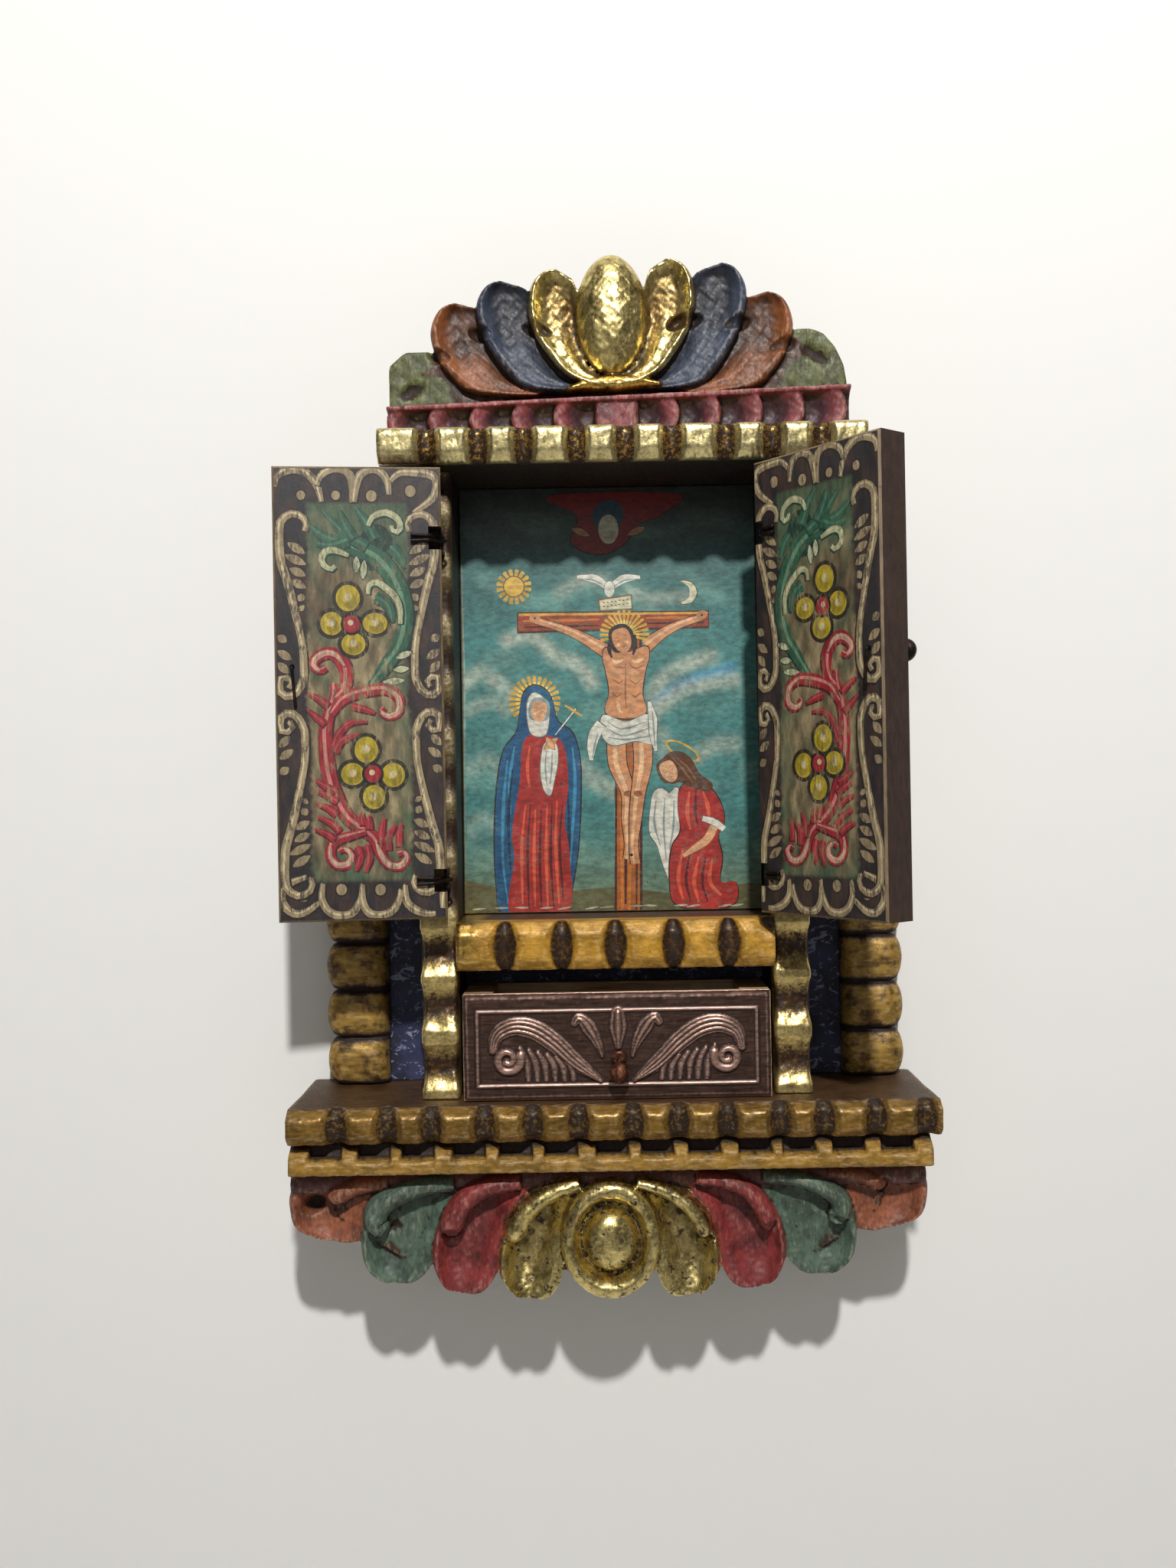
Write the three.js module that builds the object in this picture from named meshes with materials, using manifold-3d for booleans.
import * as THREE from 'three';
import { mergeVertices } from 'three/addons/utils/BufferGeometryUtils.js';
import Module from 'manifold-3d';

// A small hanging altarpiece of carved, painted and gilded wood, with a painted panel in its niche,
// two painted doors on wire hinges and a drawer with an embossed copper front.
// Millimetres. X points right, the front faces -Y, Z points up and the back lies in the plane y = 0.

const wasm = await Module();
wasm.setup();

const gap = 0.3;
const degree = Math.PI / 180;

// The box with its niche
const nicheHalfWidth = 61.75;
const boxHalfWidth = 76.5;
const boxFront = -44;
const boardThickness = 6;
const boardBack = 0;

// Heights of the main levels
const skirtTop = -148;
const stripTop = -136.1;
const stripBottom = -147.6;
const shelfTop = -122;
const shelfBottom = -135.8;
const ledgeTop = -52.3;
const ledgeBottom = -71;
const corniceBottom = 124.6;
const corniceTop = 138.1;

// The long mouldings, each nailed on a little off the middle
const shelf = { centre: -1.8, width: 250, front: -61 };
const strip = { centre: -3.3, width: 247, front: -57 };
const cornice = { centre: 5.9, width: 187.9, front: -58 };
const crest = { centre: 5.1, width: 181.8, front: -45, back: -25, shellCentre: 2.9 };
const skirt = { centre: -4.4, width: 248, front: -50, back: -32 };

// The doors
const doorWidth = 63;
const doorHeight = 171.5;
const doorThickness = 14;
const doorBottom = -49.5;
const doorEdgeBeyondAxis = 0.5;
const hingeAxisY = -53;
const hingeHeights = [-35, 95];
const wireRadius = 0.7;
const doors = [
  { name: 'left', side: -1, axisX: -64.8, openDegrees: 174 },
  { name: 'right', side: 1, axisX: 61.3, openDegrees: 127 },
];

// The drawer
const drawerHalfWidth = 59.8;
const drawerTop = -80.6;
const drawerBottom = shelfTop + gap;
const sheetFront = -49;
const sheetThickness = 0.7;

const colours = {
  gold: { color: 0xc79a2e, metalness: 0.85, roughness: 0.38 },
  ochre: { color: 0xa9781f, metalness: 0, roughness: 0.6 },
  paleWood: { color: 0xb99a6c, metalness: 0, roughness: 0.75 },
  blueBlack: { color: 0x23263a, metalness: 0, roughness: 0.7 },
  crestPaint: { color: 0x8a5a35, metalness: 0, roughness: 0.6 },
  skirtPaint: { color: 0x9a4a3a, metalness: 0, roughness: 0.6 },
  doorPaint: { color: 0x4a3f30, metalness: 0, roughness: 0.6 },
  picture: { color: 0x3f7f7c, metalness: 0, roughness: 0.5 },
  copper: { color: 0x8a5545, metalness: 0.85, roughness: 0.45 },
  wire: { color: 0x1b1917, metalness: 0.7, roughness: 0.5 },
  knobBrass: { color: 0x5b3a28, metalness: 0.7, roughness: 0.4 },
};

const group = new THREE.Group();

function addPiece(name, geometry, colour, parent = group) {
  const mesh = new THREE.Mesh(geometry, new THREE.MeshStandardMaterial(colour));
  mesh.name = name;
  parent.add(mesh);
}

function point(x, y, z) {
  return new THREE.Vector3(x, y, z);
}

// Solids that are joined or cut

function solidOf(geometry) {
  const bare = geometry.clone();
  bare.deleteAttribute('normal');
  bare.deleteAttribute('uv');
  const merged = mergeVertices(bare, 1e-4);
  const vertProperties = new Float32Array(merged.attributes.position.array);
  const triVerts = new Uint32Array(merged.index.array);
  const solid = new wasm.Manifold(new wasm.Mesh({ numProp: 3, vertProperties, triVerts }));
  if (solid.volume() > 0) {
    return solid;
  }
  for (let i = 0; i < triVerts.length; i += 3) {
    [triVerts[i], triVerts[i + 1]] = [triVerts[i + 1], triVerts[i]];
  }
  return new wasm.Manifold(new wasm.Mesh({ numProp: 3, vertProperties, triVerts }));
}

function geometryOf(solid) {
  const mesh = solid.getMesh();
  const geometry = new THREE.BufferGeometry();
  geometry.setAttribute('position', new THREE.BufferAttribute(new Float32Array(mesh.vertProperties), 3));
  geometry.setIndex(new THREE.BufferAttribute(new Uint32Array(mesh.triVerts), 1));
  return geometry;
}

function join(geometries) {
  return geometryOf(geometries.map(solidOf).reduce((whole, next) => whole.add(next)));
}

function cut(geometry, tools) {
  return geometryOf(tools.map(solidOf).reduce((rest, tool) => rest.subtract(tool), solidOf(geometry)));
}

// A closed body through a row of outlines that all have the same number of corners
function loft(outlines) {
  const corners = outlines[0].length;
  const points = outlines.flat();
  const index = [];
  for (let row = 0; row + 1 < outlines.length; row++) {
    for (let corner = 0; corner < corners; corner++) {
      const a = row * corners + corner;
      const b = row * corners + ((corner + 1) % corners);
      index.push(a, b, b + corners, a, b + corners, a + corners);
    }
  }
  for (const row of [0, outlines.length - 1]) {
    const middle = points.length;
    const centre = outlines[row].reduce((sum, p) => sum.add(p), point(0, 0, 0));
    points.push(centre.divideScalar(corners));
    for (let corner = 0; corner < corners; corner++) {
      const a = row * corners + corner;
      const b = row * corners + ((corner + 1) % corners);
      index.push(...(row === 0 ? [b, a, middle] : [a, b, middle]));
    }
  }
  const geometry = new THREE.BufferGeometry().setFromPoints(points);
  geometry.setIndex(index);
  return geometryOf(solidOf(geometry));
}

function block(x0, x1, y0, y1, z0, z1) {
  const geometry = new THREE.BoxGeometry(x1 - x0, y1 - y0, z1 - z0);
  return geometry.translate((x0 + x1) / 2, (y0 + y1) / 2, (z0 + z1) / 2);
}

// A flat shape drawn in X and Z, carried forward from its back by its thickness
function plate(shape, back, thickness, curveSegments = 6) {
  const geometry = new THREE.ExtrudeGeometry(shape, { depth: thickness, bevelEnabled: false, curveSegments });
  return geometry.rotateX(Math.PI / 2).translate(0, back, 0);
}

// An ellipsoid
function egg(centre, radii, around, along) {
  const geometry = new THREE.SphereGeometry(1, around, along);
  return geometry.scale(radii.x, radii.y, radii.z).translate(centre.x, centre.y, centre.z);
}

// Bent round wire through points, with five sides
function wire(points, radius) {
  const sides = 5;
  const along = points.map((p, i) => {
    const before = points[Math.max(i - 1, 0)];
    const after = points[Math.min(i + 1, points.length - 1)];
    return after.clone().sub(before).normalize();
  });
  let across = Math.abs(along[0].z) > 0.9 ? point(1, 0, 0) : point(0, 0, 1);
  const rings = points.map((p, i) => {
    across = across.clone().addScaledVector(along[i], -across.dot(along[i])).normalize();
    const other = along[i].clone().cross(across);
    return Array.from({ length: sides }, (unused, side) => {
      const angle = (side * 2 * Math.PI) / sides;
      return p.clone()
        .addScaledVector(across, radius * Math.cos(angle))
        .addScaledVector(other, radius * Math.sin(angle));
    });
  });
  return loft(rings);
}

// The carver's bites along an edge

// Middles of a row of bites, a little uneven as a hand leaves them
function biteCentres(count, pitch, middle, unevenness) {
  return Array.from({ length: count }, (unused, i) => {
    return middle + (i - (count - 1) / 2) * pitch + unevenness * Math.sin(2.3 * i);
  });
}

// How deep the bite is at one place along the edge, from 0 to 1
function biteAt(place, centres, width) {
  const depths = centres.map((centre) => {
    const reach = Math.min(Math.abs(place - centre) / (width / 2), 1);
    return Math.cos((reach * Math.PI) / 2);
  });
  return Math.max(...depths);
}

// Places along an edge where its outline is drawn, close together in the bites
const roundBite = [-0.5, -0.22, 0.22, 0.5];
const squareBite = [-0.5, -0.36, 0.36, 0.5];
const waveBite = [-0.5, 0, 0.5];

function edgePlaces(from, to, centres, width, steps) {
  const inside = centres.flatMap((centre) => steps.map((step) => centre + step * width));
  const kept = inside.filter((place) => place > from + 0.2 && place < to - 0.2);
  return [from, ...kept.sort((a, b) => a - b), to];
}

// A moulding along X, whose outline in Y and Z is worked out from the depth of the bite
function bittenMoulding(from, to, centres, width, steps, outlineAt) {
  return loft(edgePlaces(from, to, centres, width, steps).map((x) => {
    const bite = biteAt(x, centres, width);
    return outlineAt(bite).map(([y, z]) => point(x, y, z));
  }));
}

function makeShelf() {
  const from = shelf.centre - shelf.width / 2;
  const bites = biteCentres(13, 18.73, 4.4, 1.1);
  return bittenMoulding(from, from + shelf.width, bites, 11, roundBite, (bite) => [
    [boardBack, shelfBottom],
    [boardBack, shelfTop],
    [shelf.front + 4 + 3.4 * bite, shelfTop],
    [shelf.front + 0.3 + 3.6 * bite, shelfTop - 3.2],
    [shelf.front + 0.3 + 2.4 * bite, shelfBottom + 3.6],
    [shelf.front + 4, shelfBottom],
  ]);
}

// The strip below the shelf, its upper half notched
function makeStrip() {
  const from = strip.centre - strip.width / 2;
  const notches = biteCentres(13, 18.3, strip.centre, 0.8);
  const middle = (stripTop + stripBottom) / 2 + 1;
  return bittenMoulding(from, from + strip.width, notches, 10, squareBite, (bite) => [
    [boardBack, stripBottom],
    [boardBack, stripTop - gap],
    [strip.front + 1.2 + 4.5 * bite, stripTop - gap],
    [strip.front + 2.6 * bite, middle - 0.6],
    [strip.front, stripBottom],
  ]);
}

function makeCornice() {
  const from = cornice.centre - cornice.width / 2;
  const bites = biteCentres(9, 18.95, 6.7, 0.9);
  return bittenMoulding(from, from + cornice.width, bites, 9, roundBite, (bite) => [
    [boardBack, corniceBottom],
    [boardBack, corniceTop],
    [cornice.front + 1.2 + 2.8 * bite, corniceTop],
    [cornice.front + 3.2 * bite, corniceTop - 2],
    [cornice.front + 0.4 + 3.2 * bite, corniceBottom + 4],
    [cornice.front + 3.2 + 1.6 * bite, corniceBottom],
  ]);
}

// The niche's floor, with a bitten front moulding that hangs in front of the drawer's opening
function makeLedge() {
  const half = nicheHalfWidth - gap;
  const front = -54;
  const floorThickness = 6;
  const bites = biteCentres(5, 21.6, 0.5, 0.5);
  const moulding = bittenMoulding(-half, half, bites, 9.5, roundBite, (bite) => [
    [boxFront + 4, ledgeBottom],
    [boxFront + 4, ledgeTop],
    [front + 3.2 + 1.2 * bite, ledgeTop],
    [front + 0.2 + 2.7 * bite, ledgeTop - 4.4],
    [front + 0.2 + 2.7 * bite, ledgeBottom + 4.2],
    [front + 3.4 + 1.2 * bite, ledgeBottom],
  ]);
  const floor = block(-half, half, boxFront, -boardThickness - gap, ledgeTop - floorThickness, ledgeTop);
  const roundedEnd = egg(point(half + 2.5, front - 2, ledgeTop + 1.5), point(9, 12, 8), 8, 6);
  return cut(join([moulding, floor]), [roundedEnd]);
}

// A side wall of the box, its front edge carved in waves
function makeWall(side) {
  const from = shelfTop + gap;
  const to = corniceBottom - gap;
  const necks = biteCentres(11, 22.8, 5, 0.8);
  const back = -boardThickness - gap;
  const inner = side * nicheHalfWidth;
  const outer = side * boxHalfWidth;
  const places = edgePlaces(from, to, necks, 17, waveBite);
  const wall = loft(places.map((z) => {
    const neck = biteAt(z, necks, 17);
    const front = boxFront + 2.8 * neck;
    const corner = side * (1 + 2.2 * neck);
    return [
      point(inner, back, z),
      point(outer, back, z),
      point(outer, front + 2.4, z),
      point(outer - corner, front, z),
      point(inner + corner * 0.6, front, z),
      point(inner, front + 2, z),
    ];
  }));
  const door = doors.find((one) => one.side === side);
  const holes = hingeHeights.flatMap((z) => [-1, 1].map((leg) => wire(staplePoints(door, z, leg, 1), wireRadius + gap)));
  return cut(wall, holes);
}

// A side column, a row of rounded swellings cut square across
function makeColumn(side) {
  const inner = 94;
  const swelling = 25.7;
  const neckWidth = 21.5;
  const pitch = 19.5;
  const base = shelfTop + gap;
  const back = -boardThickness - gap;
  const depth = 10.4;
  const neckDepth = 7;
  const outlines = [];
  const swellings = 8;
  for (let i = 0; i < swellings; i++) {
    for (const [share, fullness] of [[0, 0], [0.3, 0.96], [0.74, 0.9]]) {
      outlines.push([base + (i + share) * pitch, fullness]);
    }
  }
  outlines.push([base + swellings * pitch, 0]);
  return loft(outlines.map(([z, fullness]) => {
    const outer = inner + neckWidth + (swelling - neckWidth) * fullness;
    const front = back - neckDepth - (depth - neckDepth) * fullness;
    return [
      point(side * inner, back, z),
      point(side * outer, back, z),
      point(side * outer, front + 4.5, z),
      point(side * (outer - 3.5), front, z),
      point(side * (inner + 2.5), front, z),
      point(side * inner, front + 3, z),
    ];
  }));
}

// The back board, with a plain curved wing behind each column
function makeBoard() {
  const wing = 112;
  const wingTop = 36;
  const base = shelfTop + gap;
  const top = corniceBottom - gap;
  const shape = new THREE.Shape();
  shape.moveTo(-wing, base);
  shape.lineTo(wing, base);
  shape.lineTo(wing, wingTop);
  shape.bezierCurveTo(wing, wingTop + 30, boxHalfWidth + 4, wingTop + 20, boxHalfWidth, top - 25);
  shape.lineTo(boxHalfWidth, top);
  shape.lineTo(-boxHalfWidth, top);
  shape.lineTo(-boxHalfWidth, top - 25);
  shape.bezierCurveTo(-boxHalfWidth - 4, wingTop + 20, -wing, wingTop + 30, -wing, wingTop);
  shape.closePath();
  return plate(shape, boardBack, boardThickness, 8);
}

// The painted panel, which leans back a little in the niche
function makePanel() {
  const thickness = 2.5;
  const footY = -16;
  const headY = -9;
  const foot = ledgeTop + gap;
  const head = corniceBottom - gap;
  const height = head - foot;
  const lean = Math.atan2(headY - footY, height);
  const half = nicheHalfWidth - gap;
  const corners = [[footY, foot], [headY, head], [headY + thickness, head], [footY + thickness, foot]];
  const drop = Math.cos(lean);
  return loft([-half, half].map((x) => corners.map(([y, z]) => point(x, y * drop, z))));
}

// Carved petals and leaves

// How wide a petal is along its length, from a narrow foot to a round tip
function petalFullness(t) {
  const roundFrom = 0.7;
  const foot = 0.45 + 0.55 * Math.sin(Math.min(t / 0.62, 1) * (Math.PI / 2));
  if (t < roundFrom) {
    return foot;
  }
  return Math.sqrt(1 - 0.96 * ((t - roundFrom) / (1 - roundFrom)) ** 2);
}

// A hollowed petal along a curve in X and Z. The hollow lies between two rims, the outer one higher.
function petal({ curve, halfWidth, front, back, hollow, outside }) {
  const places = [0, 0.24, 0.46, 0.66, 0.82, 0.93, 1];
  return loft(places.map((t) => {
    const spine = curve.getPoint(t);
    const tangent = curve.getTangent(t);
    const outward = new THREE.Vector2(tangent.y, -tangent.x).multiplyScalar(outside);
    const width = halfWidth * petalFullness(t);
    const dip = hollow * Math.sin(Math.PI * (0.1 + 0.8 * t));
    const droop = t > 0.9 ? 2.5 * ((t - 0.9) / 0.1) : 0;
    const outline = [
      [-1, back],
      [-1, front + 3.4],
      [-0.72, front + 1.2 + droop],
      [0, front + 1 + dip + droop],
      [0.68, front + droop],
      [1, front + 2.6 + droop],
      [1, back],
    ];
    return outline.map(([across, y]) => {
      return point(spine.x + outward.x * width * across, y, spine.y + outward.y * width * across);
    });
  }));
}

// A rounded roll along a curve in X and Z, thick at its head and closed by a blunt tip
function roll({ curve, halfWidth, front, back }) {
  const places = [0, 0.3, 0.6, 0.9, 1];
  return loft(places.map((t) => {
    const spine = curve.getPoint(t);
    const tangent = curve.getTangent(t);
    const width = halfWidth * (t > 0.95 ? 0.45 : 1 - 0.25 * t);
    const fall = t > 0.95 ? 2 : 0;
    const outline = [[-1, back], [-0.9, front + 3 + fall], [0, front + fall], [0.9, front + 3 + fall], [1, back]];
    return outline.map(([across, y]) => {
      return point(spine.x + tangent.y * width * across, y, spine.y - tangent.x * width * across);
    });
  }));
}

function bezier(corners) {
  return new THREE.CubicBezierCurve(...corners.map(([x, z]) => new THREE.Vector2(x, z)));
}

// The crest: a shell of petals around an egg, on a band of scallops between two end blocks
const shellFoot = 156;
const crestBand = { leftTop: 149.5, rightTop: 155.3, lip: 1.6 };
const crestBlockFront = -36.8;
const crestBackingFront = -34;
const petalPairs = [
  { reach: 61.6, tip: 191.8, lift: 1.6, halfWidth: 10.2, front: -41.2 },
  { reach: 43.6, tip: 201.1, lift: 2.9, halfWidth: 11, front: -43.2 },
  { reach: 22.8, tip: 203.4, lift: 1.7, halfWidth: 10, front: -45.2 },
];

// One petal. The right side of the shell was carved a little higher than the left.
function crestPetal({ reach, tip, lift, halfWidth, front }, side) {
  const top = tip + side * lift;
  const straight = 24;
  const footShare = 0.3;
  const bendShare = 0.86;
  const x = (share) => crest.shellCentre + side * share;
  const curve = bezier([
    [x(footShare * reach - 2), shellFoot],
    [x(bendShare * reach), shellFoot + 1],
    [x(reach), top - straight],
    [x(reach), top],
  ]);
  return petal({ curve, halfWidth, front, back: crest.back, hollow: 5, outside: side });
}

function flatShape(corners) {
  return new THREE.Shape(corners.map(([x, z]) => new THREE.Vector2(x, z)));
}

function crestEnds() {
  const left = crest.centre - crest.width / 2;
  const right = crest.centre + crest.width / 2;
  const foot = crestBand.leftTop - 2;
  const blockReach = 46;
  const leftBlock = flatShape([
    [left, foot], [left, 168], [left + 7.4, 173.2], [left + 22, 173.2], [left + blockReach, foot],
  ]);
  const rightBlock = new THREE.Shape();
  rightBlock.moveTo(right - blockReach, foot);
  rightBlock.lineTo(right - 25, 177);
  rightBlock.quadraticCurveTo(right - 4, 183, right, 164);
  rightBlock.lineTo(right, foot);
  rightBlock.closePath();
  const thickness = crest.back - crestBlockFront;
  return [leftBlock, rightBlock].map((shape) => plate(shape, crest.back, thickness, 4));
}

// The board behind the petals, a little lower than their tips
function crestBacking() {
  const drop = 12;
  const beyond = 2;
  const eggShoulder = 196;
  const foot = crestBand.leftTop - 2;
  const corners = [...petalPairs, null, ...[...petalPairs].reverse()].map((pair, i) => {
    if (pair === null) {
      return [crest.shellCentre, eggShoulder];
    }
    const side = i < petalPairs.length ? -1 : 1;
    return [crest.shellCentre + side * (pair.reach + beyond), pair.tip - drop];
  });
  const ends = [[corners.at(-1)[0], foot], [corners[0][0], foot]];
  return plate(flatShape([...corners, ...ends]), crest.back, crest.back - crestBackingFront);
}

// The band under the shell, higher on the right, with its thin lip and its scales
function crestBandPieces() {
  const left = crest.centre - crest.width / 2;
  const right = crest.centre + crest.width / 2;
  const bandFoot = corniceTop + gap;
  const { leftTop, rightTop, lip } = crestBand;
  const bandShape = flatShape([[left, bandFoot], [right, bandFoot], [right, rightTop - lip], [left, leftTop - lip]]);
  const lipShape = flatShape([
    [left, leftTop - lip], [right, rightTop - lip], [right, rightTop], [left, leftTop],
  ]);
  const bandFront = crest.front + 1;
  const lipFront = crest.front + 0.4;
  const scaleHeight = 145.4;
  const scales = biteCentres(11, 16.4, crest.centre, 0).map((x) => {
    const away = Math.sign(Math.round(x - crest.centre));
    return egg(point(x - away * 2, crest.front, scaleHeight), point(6.6, 3.4, 5.6), 8, 5);
  });
  return [
    cut(plate(bandShape, crest.back, crest.back - bandFront), scales),
    plate(lipShape, crest.back, crest.back - lipFront),
  ];
}

function makeCrest() {
  const middleEgg = egg(point(crest.shellCentre, -39.5, 184.8), point(14.4, 9.5, 23.8), 12, 9);
  const petals = petalPairs.flatMap((pair) => [crestPetal(pair, -1), crestPetal(pair, 1)]);
  const footHalf = 20;
  const footFront = crest.front + 3.5;
  const foot = block(
    crest.shellCentre - footHalf, crest.shellCentre + footHalf, footFront, crest.back, crestBand.leftTop, shellFoot + 3);
  return join([...crestBandPieces(), foot, crestBacking(), ...crestEnds(), ...petals, middleEgg]);
}

// The skirt: leaves that hang from a rail on both sides of a rosette, each with a rolled hook above a spoon
const leafPairs = [
  { reach: 110, bottom: -175.5, halfWidth: 14, hookTip: -160 },
  { reach: 82.5, bottom: -192.3, halfWidth: 14, hookTip: -171 },
  { reach: 55, bottom: -196.3, halfWidth: 13.2, hookTip: -173.5 },
  { reach: 29.5, bottom: -198.6, halfWidth: 12.6, hookTip: -175 },
];

function skirtLeaf({ reach, bottom, halfWidth, hookTip }, side) {
  const lean = 0.012;
  const low = bottom + side * lean * reach;
  const x = (share) => skirt.centre + side * share;
  const spoon = petal({
    curve: bezier([
      [x(reach - 7), skirtTop - 1],
      [x(reach - 4), skirtTop - 12],
      [x(reach), low + 18],
      [x(reach), low],
    ]),
    halfWidth,
    front: skirt.front,
    back: skirt.back,
    hollow: 6,
    outside: -side,
  });
  const hook = roll({
    curve: bezier([
      [x(reach - 15), skirtTop - 2],
      [x(reach - 3), skirtTop - 1],
      [x(reach + halfWidth - 3), skirtTop - 5],
      [x(reach + halfWidth - 4.5), hookTip],
    ]),
    halfWidth: 5.4,
    front: skirt.front - 4,
    back: skirt.back + 1,
  });
  return [spoon, hook];
}

function makeRosette() {
  const halfWidth = 19.6;
  const halfHeight = 23;
  const centreZ = -175.6;
  const front = skirt.front;
  const profile = [
    [0, skirt.back], [1, skirt.back], [1, front], [0.92, front - 3.4], [0.74, front - 3], [0.6, front + 3.5],
    [0.54, front - 1], [0.36, front - 4.6], [0, front - 6],
  ].map(([radius, y]) => new THREE.Vector2(radius, y));
  const geometry = new THREE.LatheGeometry(profile, 16);
  return geometry.scale(halfWidth, 1, halfHeight).translate(skirt.centre + 0.7, 0, centreZ);
}

// The board behind the leaves, drawn from one end to the other a little above their tips
function skirtBacking() {
  const rise = 15;
  const half = [...leafPairs].map(({ reach, bottom }) => [reach, bottom + rise]);
  const low = [
    ...half.map(([reach, z]) => [skirt.centre - reach, z]),
    ...[...half].reverse().map(([reach, z]) => [skirt.centre + reach, z]),
  ];
  const top = [[low.at(-1)[0] + 8, skirtTop - 2], [low[0][0] - 8, skirtTop - 2]];
  const front = -42.5;
  return plate(flatShape([...low, ...top]), skirt.back, skirt.back - front);
}

function makeSkirt() {
  const left = skirt.centre - skirt.width / 2;
  const right = skirt.centre + skirt.width / 2;
  const rail = block(left, right, skirt.front + 3, skirt.back, skirtTop - 8, skirtTop);
  const leaves = leafPairs.flatMap((pair) => [...skirtLeaf(pair, -1), ...skirtLeaf(pair, 1)]);
  const whole = solidOf(join([rail, skirtBacking(), ...leaves, makeRosette()]));
  const limits = solidOf(block(left, right, skirt.front - 10, skirt.back, -210, skirtTop));
  return geometryOf(whole.intersect(limits));
}

// Doors. Each is drawn shut, about its hinge axis, and turned open.

// One leg of a hinge staple: from the axis back into the wall, leaning outward where the wall is beside it
function staplePoints(door, z, leg, extra) {
  const legHalfSpan = 3.2;
  const legX = Math.max(Math.abs(door.axisX), nicheHalfWidth + 3) * door.side;
  const depthInWall = 6;
  const zLeg = z + leg * legHalfSpan;
  return [
    point(door.axisX, hingeAxisY, z),
    point(door.axisX, hingeAxisY, zLeg - leg * 0.6),
    point(door.axisX, hingeAxisY + 0.6, zLeg),
    point(legX, boxFront - 0.5, zLeg),
    point(legX, boxFront + depthInWall + extra, zLeg),
  ];
}

function makeStaple(door, z) {
  const upper = staplePoints(door, z, 1, 0);
  const lower = staplePoints(door, z, -1, 0).slice(1).reverse();
  return wire([...lower, ...upper.slice(1)], wireRadius);
}

// The loop on the door: two legs on the inner face and a turn about the staple
function makeLoop(door, z) {
  const legReach = 11;
  const facing = doorThickness / 2 + wireRadius + gap;
  const route = [
    [legReach, facing], [4.4, facing], [2.8, 6.2], [2.4, 2.2], [1.6, -1.4], [0, -2.2], [-1.6, -1.4],
    [-2.2, 0], [-1.6, 1.4], [-0.2, 2.4], [1.6, 4.2], [2.8, 6.2], [4.4, facing], [legReach, facing],
  ];
  const spread = 1.15;
  return wire(route.map(([inward, y], i) => {
    const height = z + spread * (1 - (2 * i) / (route.length - 1));
    return point(-door.side * inward, y, height);
  }), wireRadius);
}

const knobInward = 56;
const knobHeight = 46.5;

function makeDoorPanel(door) {
  const half = doorThickness / 2;
  const edge = 0.8;
  const hingeEdge = door.side * doorEdgeBeyondAxis;
  const freeEdge = door.side * (doorEdgeBeyondAxis - doorWidth);
  const top = doorBottom + doorHeight;
  const levels = [[doorBottom, edge], [doorBottom + edge, 0], [top - edge, 0], [top, edge]];
  const panel = loft(levels.map(([z, inset]) => {
    const x0 = hingeEdge - door.side * inset;
    const x1 = freeEdge + door.side * inset;
    const y = half - inset;
    const bevel = door.side * edge;
    return [
      point(x0, -y + edge, z), point(x0 - bevel, -y, z), point(x1 + bevel, -y, z), point(x1, -y + edge, z),
      point(x1, y - edge, z), point(x1 + bevel, y, z), point(x0 - bevel, y, z), point(x0, y - edge, z),
    ];
  }));
  const notchDepth = 4.4;
  const notchHalf = 4.4;
  const notches = hingeHeights.map((z) => {
    const far = -door.side * notchDepth;
    const near = door.side * 2;
    return block(Math.min(far, near), Math.max(far, near), -half - 1, half + 1, z - notchHalf, z + notchHalf);
  });
  const hole = new THREE.CylinderGeometry(0.95, 0.95, doorThickness + 2, 6);
  hole.translate(-door.side * knobInward, 0, knobHeight);
  return cut(panel, [...notches, hole]);
}

// A turned knob on the door's outer face, with its wire through the door and bent down inside
function makeDoorKnob(door) {
  const half = doorThickness / 2;
  const x = -door.side * knobInward;
  const profile = [[0, 0], [2, 0], [1.6, 2], [3.4, 3.2], [4.2, 5.4], [3.2, 7.6], [0, 8.4]].map(
    ([radius, out]) => new THREE.Vector2(radius, -half - gap - out));
  const knob = new THREE.LatheGeometry(profile, 8).translate(x, 0, knobHeight);
  const shank = wire([
    point(x, -half - 1, knobHeight),
    point(x, half + 0.4, knobHeight),
    point(x, half + 1, knobHeight - 0.8),
    point(x + door.side, half + 1, knobHeight - 15),
  ], 0.6);
  return join([knob, shank]);
}

function addDoor(door) {
  const leaf = new THREE.Group();
  leaf.position.set(door.axisX, hingeAxisY, 0);
  leaf.rotation.z = door.side * door.openDegrees * degree;
  group.add(leaf);
  addPiece(`door_${door.name}`, makeDoorPanel(door), colours.doorPaint, leaf);
  addPiece(`door_knob_${door.name}`, makeDoorKnob(door), colours.wire, leaf);
  hingeHeights.forEach((z, i) => {
    const place = `${door.name}_${['lower', 'upper'][i]}`;
    addPiece(`hinge_staple_${place}`, makeStaple(door, z), colours.wire);
    addPiece(`hinge_loop_${place}`, makeLoop(door, z), colours.wire, leaf);
  });
}

// The drawer

function makeDrawerBox() {
  const frontBack = -43.5;
  const back = -12;
  const sideThickness = 11.5;
  const bottomThickness = 4;
  const whole = block(-drawerHalfWidth, drawerHalfWidth, sheetFront + sheetThickness + gap, back,
    drawerBottom, drawerTop);
  const inside = block(-drawerHalfWidth + sideThickness, drawerHalfWidth - sideThickness, frontBack, back - 5,
    drawerBottom + bottomThickness, drawerTop + 1);
  return cut(whole, [inside]);
}

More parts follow.
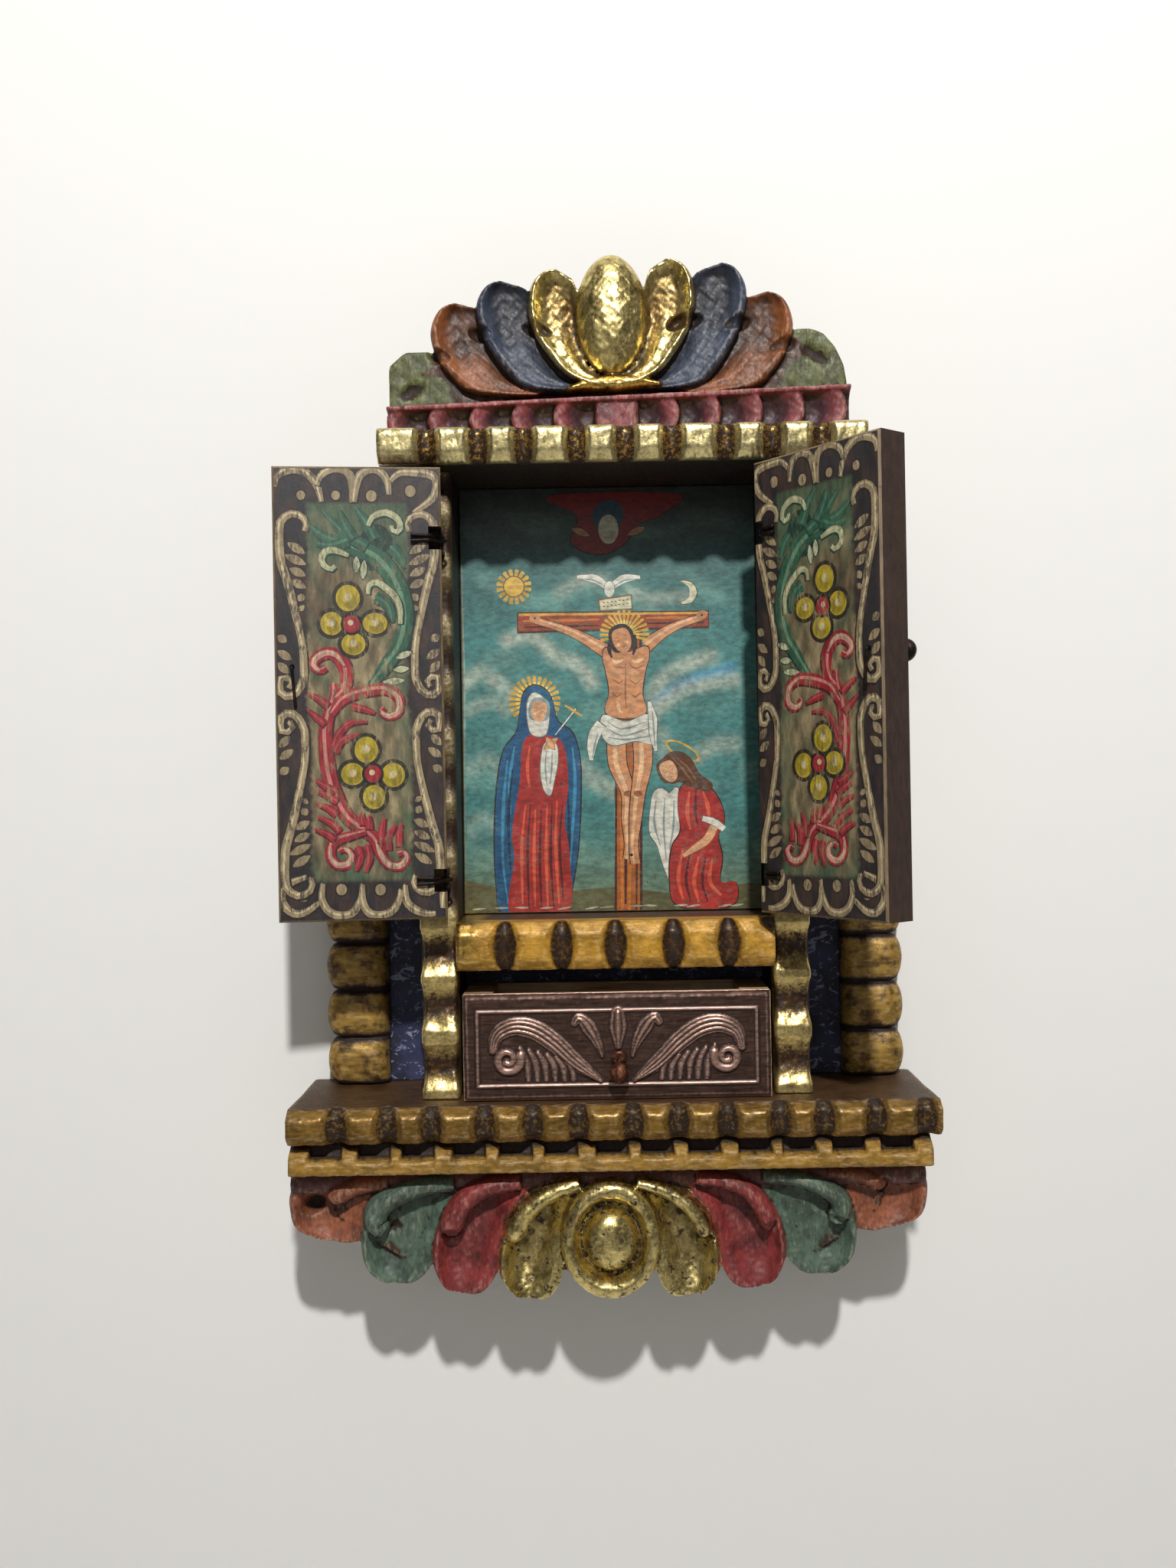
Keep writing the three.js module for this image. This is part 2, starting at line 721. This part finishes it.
// A raised line or leaf on the sheet, with a sharp crest
function reliefRidge(curve, widthAt, height, steps) {
  const foot = sheetFront + sheetThickness * 0.6;
  const outlines = [];
  for (let i = 0; i <= steps; i++) {
    const t = i / steps;
    const spine = curve.getPoint(t);
    const tangent = curve.getTangent(t);
    const width = widthAt(t);
    const side = (across, y) => point(spine.x + tangent.y * across, y, spine.y - tangent.x * across);
    outlines.push([side(-width, foot), side(0, sheetFront - height), side(width, foot)]);
  }
  return loft(outlines);
}

function splineOf(corners) {
  return new THREE.SplineCurve(corners.map(([x, z]) => new THREE.Vector2(x, z)));
}

// A flat spiral that ends in its eye
function volute(side) {
  const turns = 1.35;
  const eye = { x: 42.6, z: -105.6 };
  const corners = [];
  const count = 9;
  for (let i = 0; i <= count; i++) {
    const share = i / count;
    const radius = 5.4 - 3.9 * share;
    const angle = Math.PI - 0.3 + share * turns * 2 * Math.PI;
    corners.push([side * (eye.x + radius * Math.cos(angle)), eye.z + radius * Math.sin(angle)]);
  }
  return splineOf(corners);
}

function scrollRelief(side) {
  const arm = splineOf([
    [48.3, -102], [46.5, -96], [40, -92.8], [32, -94.2], [24, -99.6], [16, -107.2], [6.5, -114.2],
  ].map(([x, z]) => [side * x, z]));
  const combs = [0, 1, 2, 3].map((i) => {
    const x = 36.4 - 4.3 * i;
    const top = -101.6 - 0.9 * i;
    return splineOf([[x, top], [x - 3.2, (top - 114) / 2 + 1], [x - 3.4, -113.6]].map(([px, z]) => [side * px, z]));
  });
  const leaf = splineOf([[14.6, -89.6], [12.2, -92], [8.6, -98], [6, -104.6]].map(([x, z]) => [side * x, z]));
  return [
    reliefRidge(arm, (t) => 3.5 * Math.sin(Math.PI * (0.16 + 0.74 * t)) + 0.4, 1.9, 9),
    reliefRidge(volute(side), (t) => 1.8 - 0.9 * t, 1.6, 11),
    reliefRidge(leaf, (t) => 3.1 - 2.1 * t, 1.9, 4),
    ...combs.map((comb) => reliefRidge(comb, (t) => 1.3 * Math.sin(Math.PI * (0.25 + 0.65 * t)), 1, 2)),
  ];
}

function makeCopperSheet() {
  const margin = 0.2;
  const half = drawerHalfWidth - margin;
  const sheet = block(-half, half, sheetFront, sheetFront + sheetThickness, drawerBottom + margin, drawerTop + 0.6);
  const frameHalf = 54.2;
  const frameTop = -87;
  const frameBottom = -115.9;
  const corners = [
    [-frameHalf, frameBottom], [frameHalf, frameBottom], [frameHalf, frameTop], [-frameHalf, frameTop],
  ];
  const frame = corners.map((corner, i) => {
    const line = new THREE.LineCurve(
      new THREE.Vector2(...corner), new THREE.Vector2(...corners[(i + 1) % corners.length]));
    return reliefRidge(line, () => 0.9, 0.8, 1);
  });
  const palmette = splineOf([[0.4, -88.4], [0.4, -93], [0.4, -101]]);
  const middleLeaf = reliefRidge(palmette, (t) => 3.8 - 2.8 * t, 1.9, 4);
  return join([sheet, ...frame, middleLeaf, ...scrollRelief(-1), ...scrollRelief(1)]);
}

// The drawer's ball knob, with the flattened head of its pin above it
function makeDrawerKnob() {
  const x = 0.6;
  const front = sheetFront - gap;
  const plateGeometry = block(x - 2.6, x + 2.6, front - 2.4, front - 0.9, -107.6, -102.6);
  const profile = [[0, 0], [1.7, 0], [1.5, 1.8], [3.2, 3], [3.9, 5.2], [3, 7.6], [0, 8.6]].map(
    ([radius, out]) => new THREE.Vector2(radius, front - 0.9 - out));
  const knob = new THREE.LatheGeometry(profile, 10).translate(x, 0, -110.2);
  const pin = block(x - 1, x + 1, front - 2.2, front - 1.1, -110, -104);
  return join([knob, plateGeometry, pin]);
}

addPiece('back_board', makeBoard(), colours.blueBlack);
addPiece('side_wall_left', makeWall(-1), colours.gold);
addPiece('side_wall_right', makeWall(1), colours.gold);
addPiece('column_left', makeColumn(-1), colours.ochre);
addPiece('column_right', makeColumn(1), colours.ochre);
addPiece('cornice', makeCornice(), colours.gold);
addPiece('crest', makeCrest(), colours.crestPaint);
addPiece('painted_panel', makePanel(), colours.picture);
addPiece('ledge', makeLedge(), colours.ochre);
addPiece('shelf', makeShelf(), colours.gold);
addPiece('notched_strip', makeStrip(), colours.ochre);
addPiece('skirt', makeSkirt(), colours.skirtPaint);
addPiece('drawer_box', makeDrawerBox(), colours.paleWood);
addPiece('copper_sheet', makeCopperSheet(), colours.copper);
addPiece('drawer_knob', makeDrawerKnob(), colours.knobBrass);
doors.forEach(addDoor);

export default group;
